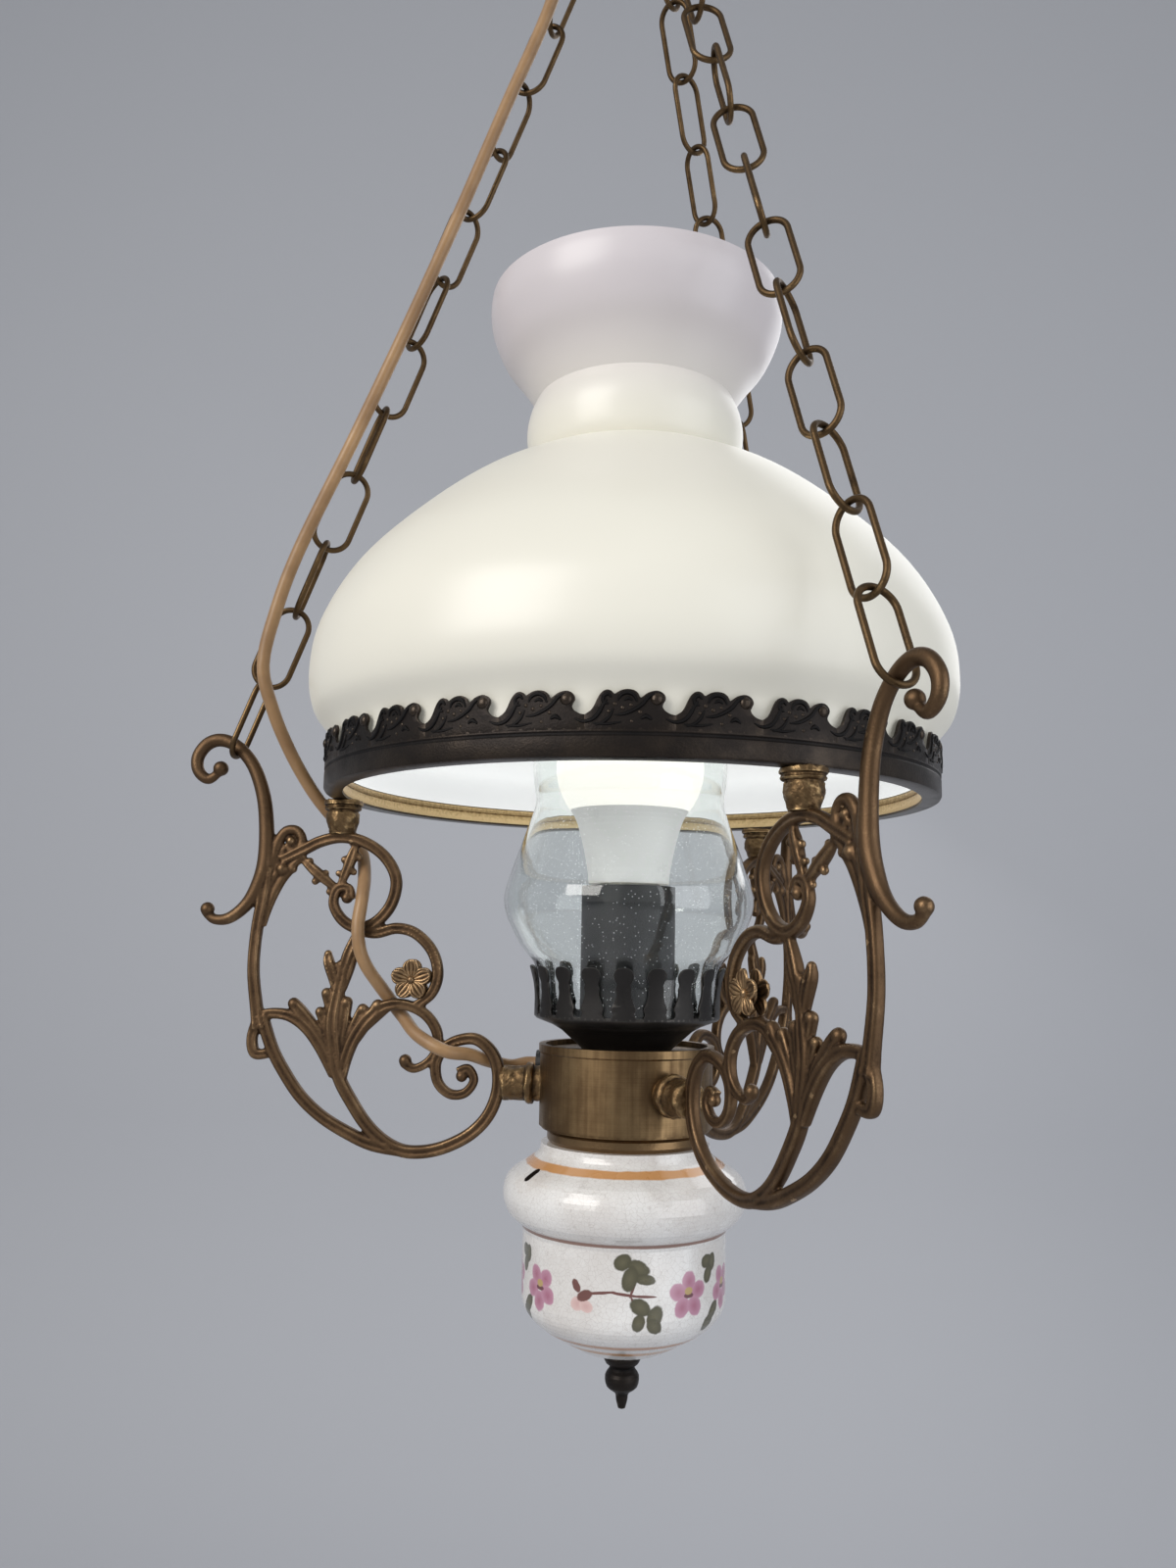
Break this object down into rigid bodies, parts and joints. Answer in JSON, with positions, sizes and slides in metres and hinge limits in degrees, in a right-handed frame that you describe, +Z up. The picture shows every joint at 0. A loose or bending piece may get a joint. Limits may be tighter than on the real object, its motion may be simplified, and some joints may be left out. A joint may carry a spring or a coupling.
{
  "type": "hanging chain oil lamp",
  "caption": "Electrified oil-lamp pendant: opal glass shade in a pierced ring on cast scroll arms, glass chimney, painted ceramic font, hung on chains from a ceiling canopy.",
  "frame": {"origin": "Middle of the ceiling face between the two ceiling screws; the lamp hangs below it.", "axes": "+Z up along the lamp's axis, -X towards the left arm, -Y towards the camera."},
  "size_m": [0.3131, 0.3186, 0.7407],
  "materials": {
    "brass": "aged brass with darker hollows",
    "chain_brass": "aged drawn brass wire",
    "cast_brass": "cast brass, worn bright on its ridges",
    "dark_bronze": "dark brown patina",
    "black_metal": "blackened sheet brass",
    "black_plastic": "satin black plastic",
    "steel": "plain zinc-plated steel",
    "insulation": "pale insulating plastic",
    "flex_fabric": "braided gold-brown cord",
    "glazed_ceramic": "white crackled glaze with painted sprigs",
    "opal_glass": "glossy opal glass",
    "clear_glass": "clear glass",
    "diffuser": "white diffuser, lit"
  },
  "bodies": {
    "ceiling": {"ceiling_bracket": "steel", "ceiling_canopy": "brass", "canopy_nut": "brass", "ceiling_hook": "brass", "canopy_cord_bush": "insulation", "terminal_block": "insulation", "terminal_screws": "steel", "flex_upper": "flex_fabric"},
    "suspension": {"suspension_ring": "brass", "flex_middle": "flex_fabric"},
    "lamp": {"chain_crown": "brass", "chain_left": "chain_brass", "chain_front_right": "chain_brass", "chain_back_right": "chain_brass", "arm_left": "cast_brass", "arm_front_right": "cast_brass", "arm_back_right": "cast_brass", "arm_ferrules": "brass", "ring_cups": "cast_brass", "arm_screws": "steel", "shade_ring": "dark_bronze", "ring_screws": "steel", "collar_drum": "brass", "collar_cap": "brass", "neck_ring": "dark_bronze", "font": "glazed_ceramic", "font_washer": "dark_bronze", "finial": "dark_bronze", "center_rod": "steel", "rod_nuts": "steel", "gallery_cone": "black_metal", "gallery_crown": "black_metal", "holder_sleeve": "black_plastic", "holder_insulator": "insulation", "holder_shell": "brass", "holder_contact": "brass", "collar_cord_bush": "black_plastic", "inner_leads": "insulation", "flex": "flex_fabric"},
    "shade": {"shade_glass": "opal_glass"},
    "chimney": {"chimney_bulge": "clear_glass", "chimney_glass": "clear_glass"},
    "bulb": {"bulb_cap": "steel", "bulb_body": "insulation", "bulb_diffuser": "diffuser", "led_board": "insulation"}
  },
  "joints": [
    {"name": "ring_swing", "type": "hinge", "parent": "ceiling", "child": "suspension", "pos_m": [0, 0, -0.065], "axis": [1, 0, 0], "range_deg": [-15, 15], "deforming": ["flex_upper"]},
    {"name": "lamp_swing", "type": "hinge", "parent": "suspension", "child": "lamp", "pos_m": [0, 0, -0.084], "axis": [0, 1, 0], "range_deg": [-15, 15], "deforming": ["flex_middle"]},
    {"name": "shade_lift", "type": "slide", "parent": "lamp", "child": "shade", "axis": [0, 0, 1], "range_m": [0, 0.02]},
    {"name": "chimney_lift", "type": "slide", "parent": "lamp", "child": "chimney", "axis": [0, 0, 1], "range_m": [0, 0.02]},
    {"name": "bulb_screw", "type": "hinge", "parent": "lamp", "child": "bulb", "pos_m": [0, 0, -0.55], "axis": [0, 0, 1], "range_deg": [0, 1080]}
  ]
}
